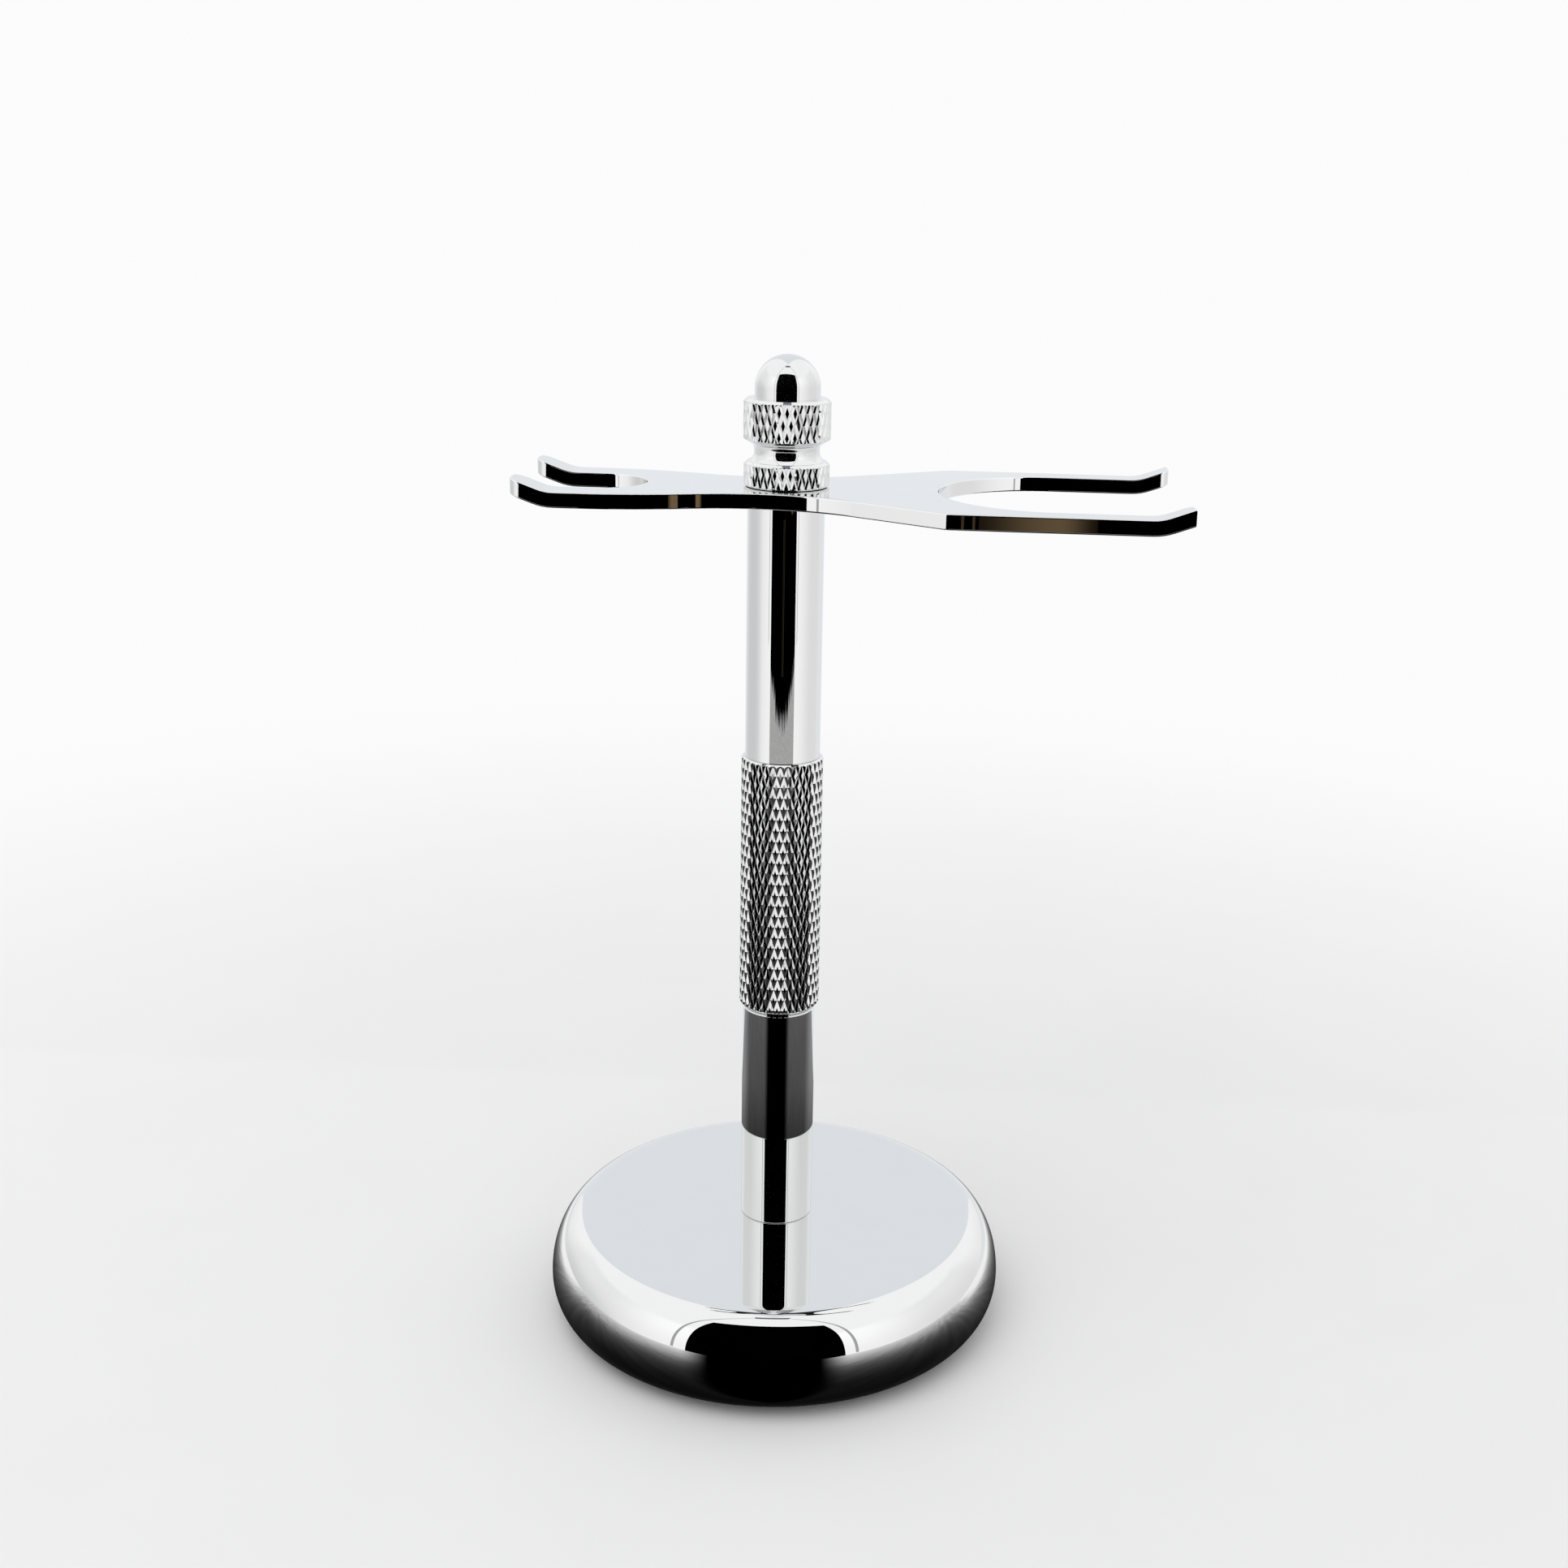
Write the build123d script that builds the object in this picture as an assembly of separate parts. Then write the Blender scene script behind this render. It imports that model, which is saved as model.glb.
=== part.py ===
from build123d import *
import math
import os

# Razor and brush stand: a weighted round base, a turned post in three sections and a swivelling
# fork plate clamped by a knurled knob. Millimetres, +Z up. The origin is on the post's axis, at
# the face that rests on the shelf. The razor fork points along -X and the brush fork along +X.

# ---- base ----
BASE_RADIUS = 38.0            # at the widest point
BASE_HEIGHT = 16.8            # shelf to the flat top, pad included
BASE_FLAT_RADIUS = 31.6       # flat disc on top, inside the rounded shoulder
BASE_WIDEST_Z = 6.9
RIM_OUTER_RADIUS = 33.5       # where the shell turns under
RIM_Z = 0.8                   # gap left under the rim by the pad
SHELL_WALL = 1.8
PAD_THICKNESS = 1.6
PAD_HOLE_RADIUS = 8.0         # leaves the bolt head in reach of a key
FIT_GAP = 0.1                 # slip fit between parts that stay together
RUNNING_GAP = 0.05            # between parts that turn on each other
FACE_GAP = 0.02               # between flat faces that slide on each other

# ---- M6 hardware ----
THREAD_RADIUS = 3.0
THREAD_CHAMFER = 0.6          # at the ends of studs and bolts
TAPPED_GAP = 0.02             # studs and bolts in their tapped holes
CLEARANCE_HOLE_RADIUS = 3.3
BOLT_HEAD_RADIUS = 5.0
BOLT_HEAD_HEIGHT = 6.0
HEX_KEY_WIDTH = 5.0
HEX_KEY_DEPTH = 3.0
FLAT_WASHER_RADIUS = 6.0
LOCK_WASHER_RADIUS = 5.4
WASHER_THICKNESS = 1.6
LOCK_WASHER_CUT = 0.8         # gap between the lock washer's ends
LOCK_WASHER_SLANT = 20.0      # of that gap, from the washer's axis
COUNTERBORE_RADIUS = 7.0
WEIGHT_CORNER = 1.0
WEIGHT_WEB_Z = 10.8           # underside of the ballast's web, where the washers bear
BOLT_REACH = 11.0             # thread inside the lower stem
STUD_HALF_LENGTH = 9.0        # thread in each of two joined sections
TAP_EXTRA_DEPTH = 1.5

# ---- post ----
STEM_RADIUS = 6.0
STEM_END_CHAMFER = 0.25
BUTT_CHAMFER = 0.12           # where two sections meet
GRIP_RADIUS = 6.55            # over the knurl's crests
GRIP_BOTTOM = 54.5
GRIP_TOP = 97.4
GRIP_BOTTOM_CHAMFER = 0.9
GRIP_TOP_CHAMFER = 0.35

# ---- fork plate ----
PLATE_TOP = 140.5
PLATE_THICKNESS = 2.4
PLATE_EDGE_ROUND = 0.25
WAIST_HALF_WIDTH = 8.8
WAIST_X = -4.0                # where the plate is narrowest
TAPER_ROUND = 27.6            # sweeps the waist into the straight taper
TAPER_ANGLE = 32.0            # of the taper towards the brush fork, from the X axis
BRUSH_HALF_WIDTH = 21.85
BRUSH_CORNER_ROUND = 1.5
BRUSH_TIP_X = 60.3
BRUSH_SLOT_RADIUS = 17.6
BRUSH_SLOT_END_X = 23.4
BRUSH_TIP_ROUND = 1.6         # inner corners only
RAZOR_HALF_WIDTH = 13.3
RAZOR_SWEEP_ROUND = 52.0      # rounds the razor fork's sides in towards the waist
RAZOR_SWEEP_ANGLE = 19.0      # steepest slope of that sweep, from the X axis
RAZOR_TIP_X = -40.5
RAZOR_SLOT_RADIUS = 7.6
RAZOR_SLOT_END_X = -21.6
RAZOR_TIP_ROUND = 2.0
RAZOR_BEND_X = -35.2          # corners of the upturned ends
BRUSH_BEND_X = 55.7
BEND_ANGLE = 20.0
BEND_RADIUS = 8.2             # to the middle of the plate's thickness
CUT_OVERRUN = 1.0             # how far a cutting shape runs past what it cuts
BENT_END_REACH = 10.0         # from a bend's corner to past the plate's tip

# ---- knob ----
KNOB_BOTTOM = PLATE_TOP + 0.08
LOWER_RING_RADIUS = 6.6
LOWER_RING_TOP = 144.4
NECK_FOOT_RADIUS = 5.7
NECK_RADIUS = 5.05
NECK_Z = 145.8
NECK_TOP_RADIUS = 5.3
NECK_TOP = 146.9
UPPER_RING_RADIUS = 6.7
UPPER_RING_BOTTOM = 147.8     # above the chamfer that rises from the neck
UPPER_RING_TOP = 153.9
RING_CHAMFER = 0.5
DOME_RADIUS = 5.05
KNOB_TOP = 160.5
KNOB_BORE_DEPTH = 10.6
STUD_ABOVE_PLATE = 9.0
RECESS_DEPTH = 0.7
RECESS_RADIUS = 5.6
DRILL_POINT_ANGLE = 30.0      # of the bore's closed end, from level

# ---- levels that follow from the sizes above ----
PLATE_BOTTOM = PLATE_TOP - PLATE_THICKNESS
UPPER_STEM_TOP = PLATE_BOTTOM - FACE_GAP
STUD_TOP = PLATE_TOP + STUD_ABOVE_PLATE
SHELL_INNER_TOP = BASE_HEIGHT - SHELL_WALL
PAD_RADIUS = RIM_OUTER_RADIUS - SHELL_WALL - FIT_GAP
TAPPED_RADIUS = THREAD_RADIUS + TAPPED_GAP


def turned(*edges):
    """A solid of revolution about the post's axis, from a closed half outline in the XZ plane."""
    outline = make_face([Plane.XZ * edge for edge in edges])
    return revolve(outline, axis=Axis.Z)


def turned_from_points(*points):
    """A solid of revolution from the corners of its half outline."""
    return turned(Polyline(*points, close=True))


def cylinder(radius, low, high):
    """A plain cylinder on the post's axis, between two heights."""
    return Pos(0, 0, low) * Cylinder(radius, high - low, align=(Align.CENTER, Align.CENTER, Align.MIN))


def ring(outer_radius, inner_radius, low, high):
    """A flat ring on the post's axis, between two heights."""
    return cylinder(outer_radius, low, high) - cylinder(inner_radius, low, high)


# ---- base ----
def base_shell():
    """The pressed and plated cover: flat top, rounded shoulder, turned under at the rim."""
    shoulder_width = BASE_RADIUS - BASE_FLAT_RADIUS
    shoulder_height = BASE_HEIGHT - BASE_WIDEST_Z
    under_width = BASE_RADIUS - RIM_OUTER_RADIUS
    under_height = BASE_WIDEST_Z - RIM_Z
    rim_inner_radius = RIM_OUTER_RADIUS - SHELL_WALL
    inner_under_start = BASE_WIDEST_Z - (under_height - SHELL_WALL)
    return turned(
        Polyline(
            (rim_inner_radius, inner_under_start),
            (rim_inner_radius, RIM_Z),
            (RIM_OUTER_RADIUS, RIM_Z),
        ),
        EllipticalCenterArc((RIM_OUTER_RADIUS, BASE_WIDEST_Z), under_width, under_height, 270, arc_size=90),
        EllipticalCenterArc(
            (BASE_FLAT_RADIUS, BASE_WIDEST_Z), shoulder_width, shoulder_height, 0, arc_size=90
        ),
        Polyline(
            (BASE_FLAT_RADIUS, BASE_HEIGHT),
            (CLEARANCE_HOLE_RADIUS, BASE_HEIGHT),
            (CLEARANCE_HOLE_RADIUS, SHELL_INNER_TOP),
            (BASE_FLAT_RADIUS, SHELL_INNER_TOP),
        ),
        EllipticalCenterArc(
            (BASE_FLAT_RADIUS, BASE_WIDEST_Z),
            shoulder_width - SHELL_WALL,
            shoulder_height - SHELL_WALL,
            90,
            arc_size=-90,
        ),
        EllipticalCenterArc(
            (rim_inner_radius, BASE_WIDEST_Z), under_width, under_height - SHELL_WALL, 0, arc_size=-90
        ),
    )


def base_weight():
    """The cast ballast: a disc that passes the rim, with a counterbore for the bolt."""
    radius = PAD_RADIUS - FIT_GAP
    top = SHELL_INNER_TOP - FIT_GAP
    return turned_from_points(
        (COUNTERBORE_RADIUS, PAD_THICKNESS),
        (radius, PAD_THICKNESS),
        (radius, top - WEIGHT_CORNER),
        (radius - WEIGHT_CORNER, top),
        (CLEARANCE_HOLE_RADIUS, top),
        (CLEARANCE_HOLE_RADIUS, WEIGHT_WEB_Z),
        (COUNTERBORE_RADIUS, WEIGHT_WEB_Z),
    )


def foot_pad():
    """The foam ring that the stand rests on, glued under the ballast."""
    return ring(PAD_RADIUS, PAD_HOLE_RADIUS, 0, PAD_THICKNESS)


# ---- hardware ----
def bolt_flat_washer():
    """The flat washer against the ballast's web."""
    return ring(FLAT_WASHER_RADIUS, CLEARANCE_HOLE_RADIUS, WEIGHT_WEB_Z - WASHER_THICKNESS, WEIGHT_WEB_Z)


def bolt_lock_washer():
    """A split spring washer, pressed flat."""
    top = WEIGHT_WEB_Z - WASHER_THICKNESS
    washer = ring(LOCK_WASHER_RADIUS, CLEARANCE_HOLE_RADIUS, top - WASHER_THICKNESS, top)
    slot = Box(2 * LOCK_WASHER_RADIUS, LOCK_WASHER_CUT, 4 * WASHER_THICKNESS)
    middle = Pos(LOCK_WASHER_RADIUS, 0, top - WASHER_THICKNESS / 2)
    return washer - middle * Rot(LOCK_WASHER_SLANT, 0, 0) * slot


def stem_bolt():
    """The socket-head bolt that pulls the post down onto the base."""
    head_top = WEIGHT_WEB_Z - 2 * WASHER_THICKNESS
    head_bottom = head_top - BOLT_HEAD_HEIGHT
    shank_top = BASE_HEIGHT + BOLT_REACH
    bolt = turned_from_points(
        (0, head_bottom),
        (BOLT_HEAD_RADIUS - THREAD_CHAMFER, head_bottom),
        (BOLT_HEAD_RADIUS, head_bottom + THREAD_CHAMFER),
        (BOLT_HEAD_RADIUS, head_top),
        (THREAD_RADIUS, head_top),
        (THREAD_RADIUS, shank_top - THREAD_CHAMFER),
        (THREAD_RADIUS - THREAD_CHAMFER, shank_top),
        (0, shank_top),
    )
    key = RegularPolygon(HEX_KEY_WIDTH / 2, 6, major_radius=False)
    return bolt - Pos(0, 0, head_bottom) * extrude(key, HEX_KEY_DEPTH)


def stud(low, high):
    """A headless M6 stud with chamfered ends."""
    return turned_from_points(
        (0, low),
        (THREAD_RADIUS - THREAD_CHAMFER, low),
        (THREAD_RADIUS, low + THREAD_CHAMFER),
        (THREAD_RADIUS, high - THREAD_CHAMFER),
        (THREAD_RADIUS - THREAD_CHAMFER, high),
        (0, high),
    )


# ---- post ----
def section(radius, low, high, low_chamfer, high_chamfer, tap_low, tap_high):
    """A turned bar with a chamfer and a tapped hole at each end."""
    bar = turned_from_points(
        (0, low),
        (radius - low_chamfer, low),
        (radius, low + low_chamfer),
        (radius, high - high_chamfer),
        (radius - high_chamfer, high),
        (0, high),
    )
    holes = cylinder(TAPPED_RADIUS, low, low + tap_low) + cylinder(TAPPED_RADIUS, high - tap_high, high)
    return bar - holes


def lower_stem():
    """The plain bar between the base and the grip."""
    return section(
        STEM_RADIUS,
        BASE_HEIGHT,
        GRIP_BOTTOM,
        STEM_END_CHAMFER,
        BUTT_CHAMFER,
        BOLT_REACH + TAP_EXTRA_DEPTH,
        STUD_HALF_LENGTH + TAP_EXTRA_DEPTH,
    )


def knurled_grip():
    """The thicker bar that carries the diamond knurl."""
    tap = STUD_HALF_LENGTH + TAP_EXTRA_DEPTH
    return section(GRIP_RADIUS, GRIP_BOTTOM, GRIP_TOP, GRIP_BOTTOM_CHAMFER, GRIP_TOP_CHAMFER, tap, tap)


def upper_stem():
    """The plain bar between the grip and the fork plate."""
    tap = STUD_HALF_LENGTH + TAP_EXTRA_DEPTH
    return section(STEM_RADIUS, GRIP_TOP, UPPER_STEM_TOP, BUTT_CHAMFER, BUTT_CHAMFER, tap, tap)


# ---- fork plate ----
def plate_half():
    """The plate's half on +Y, seen from above, before the slots are cut."""
    taper = math.radians(TAPER_ANGLE)
    taper_start = (
        WAIST_X + TAPER_ROUND * math.sin(taper),
        WAIST_HALF_WIDTH + TAPER_ROUND * (1 - math.cos(taper)),
    )
    corner_x = taper_start[0] + (BRUSH_HALF_WIDTH - taper_start[1]) / math.tan(taper)
    sweep = math.radians(RAZOR_SWEEP_ANGLE)
    sweep_rounds = (RAZOR_HALF_WIDTH - WAIST_HALF_WIDTH) / (1 - math.cos(sweep))
    waist_round = sweep_rounds - RAZOR_SWEEP_ROUND
    head_x = WAIST_X - sweep_rounds * math.sin(sweep)
    sweep_middle = (
        WAIST_X - waist_round * math.sin(sweep),
        WAIST_HALF_WIDTH + waist_round * (1 - math.cos(sweep)),
    )
    half = make_face(
        [
            Polyline((RAZOR_TIP_X, 0), (RAZOR_TIP_X, RAZOR_HALF_WIDTH), (head_x, RAZOR_HALF_WIDTH)),
            TangentArc((head_x, RAZOR_HALF_WIDTH), sweep_middle, tangent=(1, 0)),
            TangentArc((WAIST_X, WAIST_HALF_WIDTH), sweep_middle, tangent=(-1, 0)),
            TangentArc((WAIST_X, WAIST_HALF_WIDTH), taper_start, tangent=(1, 0)),
            Polyline(
                taper_start,
                (corner_x, BRUSH_HALF_WIDTH),
                (BRUSH_TIP_X, BRUSH_HALF_WIDTH),
                (BRUSH_TIP_X, 0),
                (RAZOR_TIP_X, 0),
            ),
        ]
    )
    razor_corner = half.vertices().sort_by_distance((RAZOR_TIP_X, RAZOR_HALF_WIDTH))[0]
    half = fillet(razor_corner, RAZOR_TIP_ROUND)
    brush_corner = half.vertices().sort_by_distance((corner_x, BRUSH_HALF_WIDTH))[0]
    return fillet(brush_corner, BRUSH_CORNER_ROUND)


def fork_slot(end_x, radius, tip_x, tip_round):
    """A round-ended slot that opens through the plate's tip, with rounded corners at its mouth."""
    outward = math.copysign(1, tip_x - end_x)
    centre_x = end_x + outward * radius
    length = abs(tip_x - centre_x) + CUT_OVERRUN
    slot = Pos(centre_x, 0) * Circle(radius)
    slot += Pos(centre_x + outward * length / 2, 0) * Rectangle(length, 2 * radius)
    round_x = tip_x - outward * tip_round
    for side in (-1, 1):
        square = Pos((tip_x + round_x) / 2, side * (radius + tip_round / 2)) * Rectangle(tip_round, tip_round)
        slot += square - Pos(round_x, side * (radius + tip_round)) * Circle(tip_round)
    return slot


def bent_edge(offset):
    """Side view of one face of the bent plate, at an offset above the middle of its thickness."""
    angle = math.radians(BEND_ANGLE)
    inward = offset * math.tan(angle / 2)
    level = PLATE_TOP - PLATE_THICKNESS / 2 + offset
    rise = BENT_END_REACH * math.tan(angle)
    return Plane.XZ * FilletPolyline(
        (RAZOR_BEND_X + inward - BENT_END_REACH, level + rise),
        (RAZOR_BEND_X + inward, level),
        (BRUSH_BEND_X - inward, level),
        (BRUSH_BEND_X - inward + BENT_END_REACH, level + rise),
        radius=BEND_RADIUS - offset,
    )


def bent_strip():
    """A strip of the plate's thickness, wider than the plate, with both ends bent up."""
    top = bent_edge(PLATE_THICKNESS / 2)
    bottom = bent_edge(-PLATE_THICKNESS / 2)
    side = make_face([top, Line(top @ 1, bottom @ 1), bottom, Line(bottom @ 0, top @ 0)])
    return extrude(side, BRUSH_HALF_WIDTH + CUT_OVERRUN, both=True)


def holder_plate():
    """The fork plate: a razor fork and a brush fork on one plate with upturned ends."""
    half = plate_half()
    outline = half + mirror(half, about=Plane.XZ)
    outline -= fork_slot(RAZOR_SLOT_END_X, RAZOR_SLOT_RADIUS, RAZOR_TIP_X, RAZOR_TIP_ROUND)
    outline -= fork_slot(BRUSH_SLOT_END_X, BRUSH_SLOT_RADIUS, BRUSH_TIP_X, BRUSH_TIP_ROUND)
    outline -= Circle(THREAD_RADIUS + RUNNING_GAP)
    upright = extrude(Pos(0, 0, PLATE_BOTTOM - CUT_OVERRUN) * outline, PLATE_THICKNESS + BENT_END_REACH)
    plate = bent_strip() & upright
    sharp = plate.edges().filter_by(Axis.Z)
    sharp += plate.edges().filter_by(GeomType.CIRCLE).filter_by(lambda edge: edge.radius < STEM_RADIUS)
    rims = [edge for edge in plate.edges() if edge not in sharp]
    return fillet(rims, PLATE_EDGE_ROUND)


# ---- knob ----
def knob_washer():
    """A thin nylon washer, snapped into the knob's recess, that saves the plate's finish."""
    low = PLATE_TOP + FACE_GAP
    high = KNOB_BOTTOM + RECESS_DEPTH - FACE_GAP
    return ring(RECESS_RADIUS - RUNNING_GAP, CLEARANCE_HOLE_RADIUS, low, high)


def top_knob():
    """The clamping knob: a dome on two knurled rings with a waisted neck between them."""
    bore_top = KNOB_BOTTOM + KNOB_BORE_DEPTH
    bore_radius = THREAD_RADIUS + RUNNING_GAP
    recess_top = KNOB_BOTTOM + RECESS_DEPTH
    dome_start = KNOB_TOP - DOME_RADIUS
    return turned(
        Polyline(
            (0, KNOB_TOP),
            (0, bore_top + bore_radius * math.tan(math.radians(DRILL_POINT_ANGLE))),
            (bore_radius, bore_top),
            (bore_radius, recess_top),
            (RECESS_RADIUS, recess_top),
            (RECESS_RADIUS, KNOB_BOTTOM),
            (LOWER_RING_RADIUS - RING_CHAMFER / 2, KNOB_BOTTOM),
            (LOWER_RING_RADIUS, KNOB_BOTTOM + RING_CHAMFER / 2),
            (LOWER_RING_RADIUS, LOWER_RING_TOP - RING_CHAMFER),
            (LOWER_RING_RADIUS - RING_CHAMFER, LOWER_RING_TOP),
            (NECK_FOOT_RADIUS, LOWER_RING_TOP),
        ),
        Spline(
            (NECK_FOOT_RADIUS, LOWER_RING_TOP),
            (NECK_RADIUS, NECK_Z),
            (NECK_TOP_RADIUS, NECK_TOP),
            tangents=((-0.6, 1), (0.6, 1)),
        ),
        Polyline(
            (NECK_TOP_RADIUS, NECK_TOP),
            (UPPER_RING_RADIUS, UPPER_RING_BOTTOM),
            (UPPER_RING_RADIUS, UPPER_RING_TOP - RING_CHAMFER),
            (UPPER_RING_RADIUS - RING_CHAMFER, UPPER_RING_TOP),
            (DOME_RADIUS, UPPER_RING_TOP),
            (DOME_RADIUS, dome_start),
        ),
        CenterArc((0, dome_start), DOME_RADIUS, 0, 90),
    )


PIECES = {
    "base_shell": base_shell(),
    "base_weight": base_weight(),
    "foot_pad": foot_pad(),
    "stem_bolt": stem_bolt(),
    "bolt_lock_washer": bolt_lock_washer(),
    "bolt_flat_washer": bolt_flat_washer(),
    "lower_stem": lower_stem(),
    "lower_joint_stud": stud(GRIP_BOTTOM - STUD_HALF_LENGTH, GRIP_BOTTOM + STUD_HALF_LENGTH),
    "knurled_grip": knurled_grip(),
    "upper_joint_stud": stud(GRIP_TOP - STUD_HALF_LENGTH, GRIP_TOP + STUD_HALF_LENGTH),
    "upper_stem": upper_stem(),
    "top_stud": stud(UPPER_STEM_TOP - STUD_HALF_LENGTH, STUD_TOP),
    "holder_plate": holder_plate(),
    "knob_washer": knob_washer(),
    "top_knob": top_knob(),
}

os.makedirs("parts", exist_ok=True)
for name, piece in PIECES.items():
    piece.label = name
    export_step(piece, f"parts/{name}.step")
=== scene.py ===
import math

import bmesh
import bpy
from mathutils import Matrix, Vector


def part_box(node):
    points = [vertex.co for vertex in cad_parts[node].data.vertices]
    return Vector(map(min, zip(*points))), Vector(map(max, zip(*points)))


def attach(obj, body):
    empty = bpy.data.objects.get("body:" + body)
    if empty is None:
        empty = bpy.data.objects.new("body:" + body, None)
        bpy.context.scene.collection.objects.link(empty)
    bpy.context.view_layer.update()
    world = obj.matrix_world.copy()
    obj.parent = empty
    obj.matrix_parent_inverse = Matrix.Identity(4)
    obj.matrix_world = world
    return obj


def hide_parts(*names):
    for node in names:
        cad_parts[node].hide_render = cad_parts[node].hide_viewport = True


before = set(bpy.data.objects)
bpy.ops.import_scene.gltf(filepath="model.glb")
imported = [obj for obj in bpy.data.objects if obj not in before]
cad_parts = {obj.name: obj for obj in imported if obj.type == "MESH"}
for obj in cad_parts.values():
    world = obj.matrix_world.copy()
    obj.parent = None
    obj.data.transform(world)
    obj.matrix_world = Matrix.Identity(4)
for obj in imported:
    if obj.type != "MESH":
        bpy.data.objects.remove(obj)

# Razor and brush stand in mirror chrome. Lengths named here are millimetres, in the CAD's frame.
MM = 0.001
COLUMNS = 256                     # facets round a plain turned piece
CHAMFER_STEP = 0.08               # longest mesh step down a chamfer
SHARP_EDGE = math.radians(25)
KNURL_SHARP_EDGE = math.radians(11)

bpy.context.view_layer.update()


# ---- sizes read from the frame ----
def low(node):
    """A node's lowest height, in millimetres."""
    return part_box(node)[0].z / MM


def high(node):
    """A node's highest height, in millimetres."""
    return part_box(node)[1].z / MM


def radius(node):
    """A turned node's largest radius, in millimetres."""
    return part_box(node)[1].x / MM


# ---- turned meshes ----
def ellipse(centre, half_width, half_height, start, end, steps):
    """Points along an elliptical arc, from one angle to another in degrees."""
    points = []
    for step in range(steps + 1):
        angle = math.radians(start + (end - start) * step / steps)
        points.append((centre[0] + half_width * math.cos(angle), centre[1] + half_height * math.sin(angle)))
    return points


def line(start, end, longest):
    """Points along a straight line, no further apart than the longest step."""
    steps = max(1, math.ceil(math.dist(start, end) / longest))
    return [
        (start[0] + (end[0] - start[0]) * step / steps, start[1] + (end[1] - start[1]) * step / steps)
        for step in range(steps + 1)
    ]


def turned(name, outline, columns=COLUMNS, relief=None, closed=False, sharp=SHARP_EDGE):
    """A turned solid from its half outline of (radius, height) points, in millimetres.

    A relief is a Knurl or a Thread that leaves the surface below the outline where it cuts.
    """
    mesh = bmesh.new()
    start_angle = relief.start_angle if relief else 0.0
    rings = []
    for ring_radius, height in outline:
        if ring_radius == 0:
            rings.append([mesh.verts.new((0, 0, height * MM))] * columns)
            continue
        ring = []
        for column in range(columns):
            angle = start_angle + 2 * math.pi * column / columns
            reach = min(ring_radius, relief.radius(angle, height)) if relief else ring_radius
            place_mm = Vector((reach * math.cos(angle), reach * math.sin(angle), height))
            ring.append(mesh.verts.new(place_mm * MM))
        rings.append(ring)
    pairs = list(zip(outline, outline[1:], rings, rings[1:]))
    if closed:
        pairs.append((outline[-1], outline[0], rings[-1], rings[0]))
    for start, end, lower, upper in pairs:
        for column in range(columns):
            following = (column + 1) % columns
            corners = [lower[column], lower[following], upper[following], upper[column]]
            if relief:
                angle = start_angle + 2 * math.pi * (column + 0.5) / columns
                if not relief.rising(angle, (start[1] + end[1]) / 2):
                    corners = corners[1:] + corners[:1]
                halves = [corners[:3], [corners[2], corners[3], corners[0]]]
            else:
                halves = [corners]
            for half in halves:
                face = list(dict.fromkeys(half))
                if len(face) > 2:
                    mesh.faces.new(face)
    bmesh.ops.recalc_face_normals(mesh, faces=mesh.faces)
    return finished(name, mesh, sharp)


def finished(name, mesh, sharp):
    """Turns a bmesh into a smooth-shaded object, with its real corners kept sharp."""
    data = bpy.data.meshes.new(name)
    mesh.to_mesh(data)
    mesh.free()
    data.polygons.foreach_set("use_smooth", [True] * len(data.polygons))
    data.set_sharp_from_angle(angle=sharp)
    made = bpy.data.objects.new(name, data)
    bpy.context.scene.collection.objects.link(made)
    return made


def place(piece, body, node, material):
    """Puts a finish on a piece that stands for a CAD node, and lets it ride on that node's body."""
    piece.data.materials.append(material)
    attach(piece, body)
    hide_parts(node)
    return piece


class Knurl:
    """A diamond knurl: two crossing families of V grooves that leave flat-topped pyramids.

    Half a diamond takes a few mesh steps, and its last step is the flat.
    """

    def __init__(self, crest, depth, starts, diamond_height, level, turn, steps):
        self.crest = crest            # function of height: the radius before cutting
        self.depth = depth
        self.starts = starts          # diamonds round the bar
        self.diamond_height = diamond_height
        self.level = level            # a height where grooves cross at the start angle
        self.start_angle = -turn * 2 * math.pi / starts
        self.steps = steps
        self.columns = starts * 2 * steps

    def from_grooves(self, angle, height):
        """Distances to the nearest rising and falling groove, in diamonds."""
        across = self.starts * (angle - self.start_angle) / (2 * math.pi)
        up = (height - self.level) / self.diamond_height
        return abs(across - up - round(across - up)), abs(across + up - round(across + up))

    def radius(self, angle, height):
        """The radius that the grooves leave."""
        climbed = min(1, 2 * min(self.from_grooves(angle, height)) / (1 - 1 / self.steps))
        return self.crest(height) - self.depth * (1 - climbed)

    def rising(self, angle, height):
        """Whether the creases at a place rise with the angle."""
        to_rising, to_falling = self.from_grooves(angle, height)
        return to_rising < to_falling

    def rows(self, bottom, top):
        """Heights between two levels that fall on the knurl's own rows."""
        step = self.diamond_height / 2 / self.steps
        first = math.ceil((bottom - self.level) / step + 0.01)
        last = math.floor((top - self.level) / step - 0.01)
        return [self.level + step * row for row in range(first, last + 1)]


class Thread:
    """A coarse metric thread, cut to a flat root."""

    start_angle = 0.0
    crest_share = 0.07                # of the pitch: half the flat crest
    flank_share = 0.3                 # of the pitch: from the crest down to the root

    def __init__(self, crest, depth, pitch):
        self.crest = crest
        self.depth = depth
        self.pitch = pitch

    def radius(self, angle, height):
        """The radius that the thread leaves."""
        phase = (height / self.pitch - angle / (2 * math.pi)) % 1
        from_crest = min(phase, 1 - phase)
        share = min(1, max(0, (from_crest - self.crest_share) / self.flank_share))
        return self.crest - self.depth * share

    def rising(self, angle, height):
        """Threads rise with the angle."""
        return True


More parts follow.
